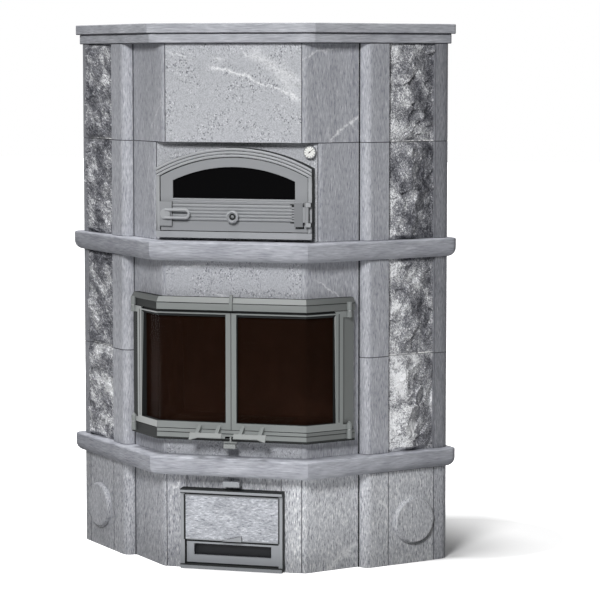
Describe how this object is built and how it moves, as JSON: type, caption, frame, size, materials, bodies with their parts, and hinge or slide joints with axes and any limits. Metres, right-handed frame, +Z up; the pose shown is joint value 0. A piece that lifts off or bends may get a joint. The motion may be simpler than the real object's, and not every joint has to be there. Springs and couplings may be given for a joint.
{
  "type": "masonry heater",
  "caption": "Soapstone corner masonry heater with a bay fire door, an arched bake oven above it, ash door and drawer below it, stone shelves and a flat cap.",
  "frame": {"origin": "on the floor, under the middle of the stone body, on its left-right symmetry plane", "axes": "+Z up, -Y to the front with the doors, +X to the right as seen from the front"},
  "size_m": [1.3346, 0.9307, 1.783],
  "materials": {
    "soapstone": "honed soapstone",
    "soapstone_veined": "honed soapstone with pale veins",
    "soapstone_split": "split-face soapstone",
    "soapstone_rear": "sawn soapstone",
    "refractory": "fired refractory, sooted",
    "grate_iron": "as cast",
    "flue_steel": "matt heat-proof paint",
    "door_steel": "grey metallic heat-proof paint",
    "oven_iron": "light grey metallic heat-proof paint",
    "pin_steel": "turned",
    "fire_glass": "clear glass ceramic",
    "oven_glass": "dark glass ceramic",
    "seal_rope": "woven glass rope",
    "dial_white": "white enamel",
    "needle_black": "black paint",
    "plug_stone": "turned soapstone"
  },
  "bodies": {
    "body": {"base_front_stones": "soapstone", "base_angled_stones": "soapstone", "disc_panels": "soapstone", "column_stones": "soapstone", "end_stones": "soapstone", "lower_shelf": "soapstone", "upper_shelf": "soapstone", "cap_lower": "soapstone", "cap_upper": "soapstone", "fire_sill_stone": "soapstone_veined", "fire_surround_stones": "soapstone_veined", "fire_lintel_stone": "soapstone_veined", "oven_niche_stone": "soapstone_veined", "oven_angled_stones": "soapstone_veined", "upper_front_stone": "soapstone_veined", "upper_angled_stones": "soapstone_veined", "split_face_panels": "soapstone_split", "rear_walls": "soapstone_rear", "back_wall": "soapstone_rear", "base_slab": "refractory", "hearth_floor": "refractory", "firebox_sides": "refractory", "core_back": "refractory", "firebox_throat": "refractory", "oven_floor": "refractory", "oven_walls": "refractory", "oven_vault": "refractory", "ash_pit_walls": "refractory", "grate": "grate_iron", "flue_collar": "flue_steel", "fire_door_frame": "door_steel", "fire_top_catch": "door_steel", "ash_frame": "door_steel", "oven_arch": "oven_iron", "oven_frame": "oven_iron", "fire_hinge_pins": "pin_steel", "oven_hinge_pin": "pin_steel", "thermometer_case": "pin_steel", "thermometer_dial": "dial_white"},
    "fire_leaf_left": {"fire_door_left": "door_steel", "fire_glass_left": "fire_glass", "fire_seal_left": "seal_rope", "fire_handle_left": "door_steel"},
    "fire_leaf_right": {"fire_door_right": "door_steel", "fire_glass_right": "fire_glass", "fire_seal_right": "seal_rope", "fire_handle_right": "door_steel"},
    "fire_air_control": {"fire_air_slider": "door_steel"},
    "oven_leaf": {"oven_door": "oven_iron", "oven_glass": "oven_glass", "oven_seal": "seal_rope"},
    "oven_latch": {"oven_latch_handle": "oven_iron"},
    "oven_damper_knob": {"oven_knob": "oven_iron"},
    "thermometer_hand": {"thermometer_needle": "needle_black"},
    "ash_door": {"ash_flap": "door_steel", "ash_flap_stone": "soapstone_veined"},
    "ash_tray": {"ash_drawer": "door_steel"},
    "ash_air_control": {"ash_air_slider": "door_steel"},
    "plug_left": {"soot_plug_left": "plug_stone"},
    "plug_right": {"soot_plug_right": "plug_stone"}
  },
  "joints": [
    {"name": "fire_leaf_left_hinge", "type": "hinge", "parent": "body", "child": "fire_leaf_left", "pos_m": [-0.36799, -0.31868, 0.66], "axis": [0, 0, -1], "range_deg": [0, 115]},
    {"name": "fire_leaf_right_hinge", "type": "hinge", "parent": "body", "child": "fire_leaf_right", "pos_m": [0.36799, -0.31868, 0.66], "axis": [0, 0, 1], "range_deg": [0, 115]},
    {"name": "fire_air_slide", "type": "slide", "parent": "body", "child": "fire_air_control", "axis": [1, 0, 0], "range_m": [-0.018, 0.018]},
    {"name": "oven_door_hinge", "type": "hinge", "parent": "body", "child": "oven_leaf", "pos_m": [0.2485, -0.406, 1.17], "axis": [0, 0, 1], "range_deg": [0, 110]},
    {"name": "oven_latch_turn", "type": "hinge", "parent": "oven_leaf", "child": "oven_latch", "pos_m": [-0.227, -0.404, 1.167], "axis": [0, -1, 0], "range_deg": [0, 45]},
    {"name": "oven_knob_turn", "type": "hinge", "parent": "oven_leaf", "child": "oven_damper_knob", "pos_m": [0, -0.394, 1.16], "axis": [0, -1, 0], "range_deg": [0, 270]},
    {"name": "thermometer_turn", "type": "hinge", "parent": "body", "child": "thermometer_hand", "pos_m": [0.248, -0.373, 1.37], "axis": [0, 1, 0], "range_deg": [-185, 85]},
    {"name": "ash_flap_hinge", "type": "hinge", "parent": "body", "child": "ash_door", "pos_m": [0, -0.424, 0.2465], "axis": [-1, 0, 0], "range_deg": [0, 85]},
    {"name": "ash_drawer_slide", "type": "slide", "parent": "body", "child": "ash_tray", "axis": [0, -1, 0], "range_m": [0, 0.25]},
    {"name": "ash_air_slide", "type": "slide", "parent": "body", "child": "ash_air_control", "axis": [1, 0, 0], "range_m": [-0.015, 0.015]},
    {"name": "plug_left_pull", "type": "slide", "parent": "body", "child": "plug_left", "axis": [-0.7071, -0.7071, 0], "range_m": [0, 0.09]},
    {"name": "plug_right_pull", "type": "slide", "parent": "body", "child": "plug_right", "axis": [0.7071, -0.7071, 0], "range_m": [0, 0.09]}
  ]
}
